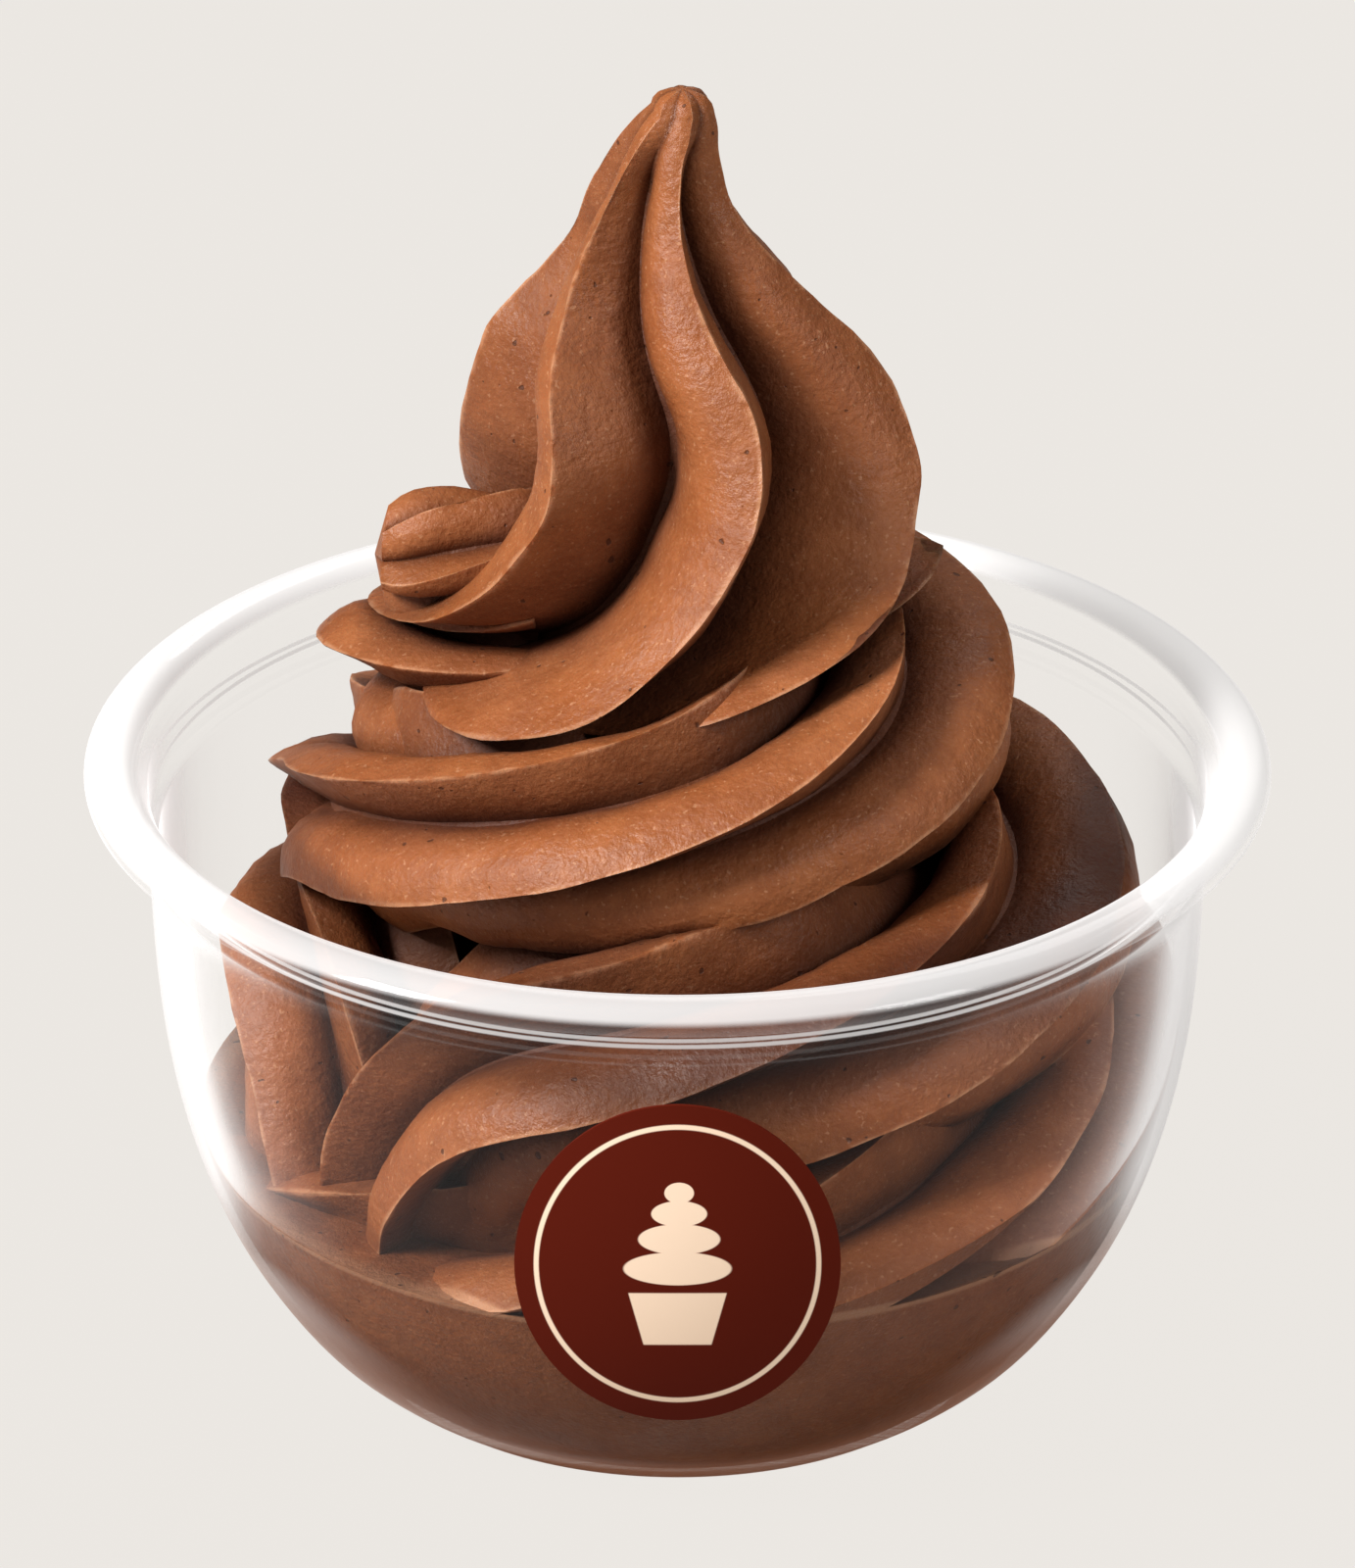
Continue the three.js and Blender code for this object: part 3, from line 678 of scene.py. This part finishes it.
bm = bmesh.new()
bm.from_mesh(food.data)
dropScraps(bm)
bmesh.ops.dissolve_degenerate(bm, dist=swirl["thinnest"] * mm, edges=bm.edges)
roughened(bm, foodWall)
markHollows(bm)
edgesByAngle(bm, swirl["sharp"])
bm.to_mesh(food.data)
bm.free()
food.name = "chocolateSwirl"
food.data.materials.clear()
food.data.materials.append(chocolateSoftServe())
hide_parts("soft_serve")
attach(food, "root")
print("soft serve made", len(food.data.polygons))


# The sticker lies on the front wall. Its print is given in the unit circle.
sticker = dict(
    size=25.2,
    view=25.8,  # degrees above the table from which it reads as a circle
    middle=28.0,
    searched=(2.0, 45.0), halvings=30,  # heights of the wall that its points are looked for in
    gap=0.12,
    thick=0.25,
    cells=44,
    sharp=40,  # degrees
    ground=srgb(88, 24, 11),
    print=srgb(255, 226, 198),
    ring=(0.845, 0.855, 0.875, 0.885),  # the printed line, from the middle outwards
    scoops=[(0, -0.02, 0.33, 0.105), (0.01, 0.165, 0.25, 0.095), (0.01, 0.325, 0.17, 0.08),
            (0.01, 0.455, 0.09, 0.065)],  # x, y, half width, half height
    ovalEdge=(1.06, 0.94),
    tubFoot=-0.5, tubFlare=0.28, tubSide=(0.215, 0.205), tubHeights=(-0.51, -0.5, -0.18, -0.17),
    # glow is painted light: the print and its ground shine a little by themselves
    roughness=0.7, ior=1.3, specular=0.12, glow=0.12,
)


def wallRadius(z):  # and how fast it grows with height
    for (r0, z0), (r1, z1) in zip(wallCurve, wallCurve[1:]):
        if z <= z1:
            break
    return r0 + (r1 - r0) * (z - z0) / (z1 - z0), (r1 - r0) / (z1 - z0)


def seenHeight(z, x):  # how high a point of the front wall appears
    tilt = math.radians(sticker["view"])
    return z * math.cos(tilt) - math.sqrt(wallRadius(z)[0] ** 2 - x * x) * math.sin(tilt)


def onWall(u, v, off):  # place of (u, v) in the unit circle on the wall
    across = sticker["size"] / 2 * u
    want = seenHeight(sticker["middle"], 0) + sticker["size"] / 2 * v
    low, high = sticker["searched"]
    for _ in range(sticker["halvings"]):
        z = (low + high) / 2
        if seenHeight(z, across) < want:
            low = z
        else:
            high = z
    r, slope = wallRadius(low)
    a = math.asin(across / r)
    n = off / math.hypot(1, slope)
    return Vector(((r + n) * math.sin(a), -(r + n) * math.cos(a), low - slope * n)) * mm


def stickerPaper():
    label = Finish("stickerPaper")
    x, y, _ = label.xyz(label.uvMap("disc"))
    motif = label.band((x * x + y * y) ** 0.5, *sticker["ring"])
    for middleX, middleY, halfWide, halfHigh in sticker["scoops"]:
        off = ((x - middleX) / halfWide) ** 2 + ((y - middleY) / halfHigh) ** 2
        motif = motif.maths("MAXIMUM", label.between(off, *sticker["ovalEdge"]))
    fromSide = x.maths("ABSOLUTE") - (y - sticker["tubFoot"]) * sticker["tubFlare"]
    tub = label.between(fromSide, *sticker["tubSide"]) * label.band(y, *sticker["tubHeights"])
    ink = label.mixed(motif.maths("MAXIMUM", tub), sticker["ground"], sticker["print"])
    # the ink also glows a little, as painted light
    return label.ends(label.node("ShaderNodeBsdfPrincipled", None,
                                 {"Base Color": ink, "Roughness": sticker["roughness"], "IOR": sticker["ior"],
                                  "Specular IOR Level": sticker["specular"], "Emission Color": ink,
                                  "Emission Strength": sticker["glow"]}))


bm = bmesh.new()
bmesh.ops.create_grid(bm, x_segments=sticker["cells"], y_segments=sticker["cells"], size=1)
disc = bm.loops.layers.uv.new("disc")
inCircle = {v: (v.co.x * math.sqrt(1 - v.co.y ** 2 / 2), v.co.y * math.sqrt(1 - v.co.x ** 2 / 2))
            for v in bm.verts}
for face in bm.faces:
    for loop in face.loops:
        loop[disc].uv = inCircle[loop.vert]
for v, (a, b) in inCircle.items():
    v.co = onWall(a, b, sticker["gap"] + sticker["thick"])
bmesh.ops.recalc_face_normals(bm, faces=bm.faces)
if sum(f.normal.y for f in bm.faces) > 0:
    bmesh.ops.reverse_faces(bm, faces=bm.faces)
bmesh.ops.solidify(bm, geom=bm.faces[:], thickness=sticker["thick"] * mm)
edgesByAngle(bm, sticker["sharp"])
frontSticker = finishedMesh("frontSticker", bm)
frontSticker.data.materials.append(stickerPaper())
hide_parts("sticker")
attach(frontSticker, "root")
print("sticker made")


# The studio: a pale floor, three soft lights and the camera. Lengths are in metres.
studio = dict(
    floorSize=6,
    ground=srgb(236, 232, 227),
    paper=srgb(165, 161, 157),
    evenShare=0.985,  # of the floor as the camera sees it, the rest is lit paper
    surround=0.15,
    # place, aim, size, watts
    lights=dict(
        keyLight=((-0.6, -0.33, 0.62), (0, 0, 0.06), 0.25, 12.2),
        fillLight=((0.6, -0.5, 0.6), (0, 0, 0.05), 0.3, 3.2),
        backLight=((0.2, 0.5, 0.6), (0, 0, 0.06), 0.3, 0.8),
    ),
    camera=(0, -0.8103, 0.4411),
    tilt=64.2,
    lens=257.9, sensor=36, farthest=20,
)


def paleFloor():
    pale = Finish("paleFloor")
    lit = pale.node("ShaderNodeBsdfDiffuse", None, {"Color": studio["paper"]})
    glow = pale.node("ShaderNodeEmission", None, {"Color": studio["ground"], "Strength": 1.0})
    seen = pale.node("ShaderNodeLightPath")  # an even ground in the picture, plain paper for the light
    return pale.ends(pale.node("ShaderNodeMixShader", None, [seen * studio["evenShare"], lit, glow]))


def softLight(name, place, aim, size, power):
    light = bpy.data.lights.new(name, "AREA")
    light.shape, light.size, light.energy = "SQUARE", size, power
    lamp = bpy.data.objects.new(name, light)
    lamp.location = place
    lamp.rotation_euler = (Vector(aim) - Vector(place)).to_track_quat("-Z", "Y").to_euler()
    bpy.context.scene.collection.objects.link(lamp)


bm = bmesh.new()
bmesh.ops.create_grid(bm, x_segments=1, y_segments=1, size=studio["floorSize"])
floor = finishedMesh("floor", bm)
floor.data.materials.append(paleFloor())

world = bpy.data.worlds.new("studio")
world.use_nodes = True
background = world.node_tree.nodes["Background"]
background.inputs[0].default_value = studio["ground"]
background.inputs[1].default_value = studio["surround"]
bpy.context.scene.world = world

for name, settings in studio["lights"].items():
    softLight(name, *settings)

optics = bpy.data.cameras.new("camera")
optics.lens, optics.sensor_width, optics.clip_end = studio["lens"], studio["sensor"], studio["farthest"]
camera = bpy.data.objects.new("camera", optics)
camera.location = studio["camera"]
camera.rotation_euler = (math.radians(studio["tilt"]), 0, 0)
bpy.context.scene.collection.objects.link(camera)
bpy.context.scene.camera = camera
bpy.context.scene.view_settings.view_transform = "Standard"

print("studio set")
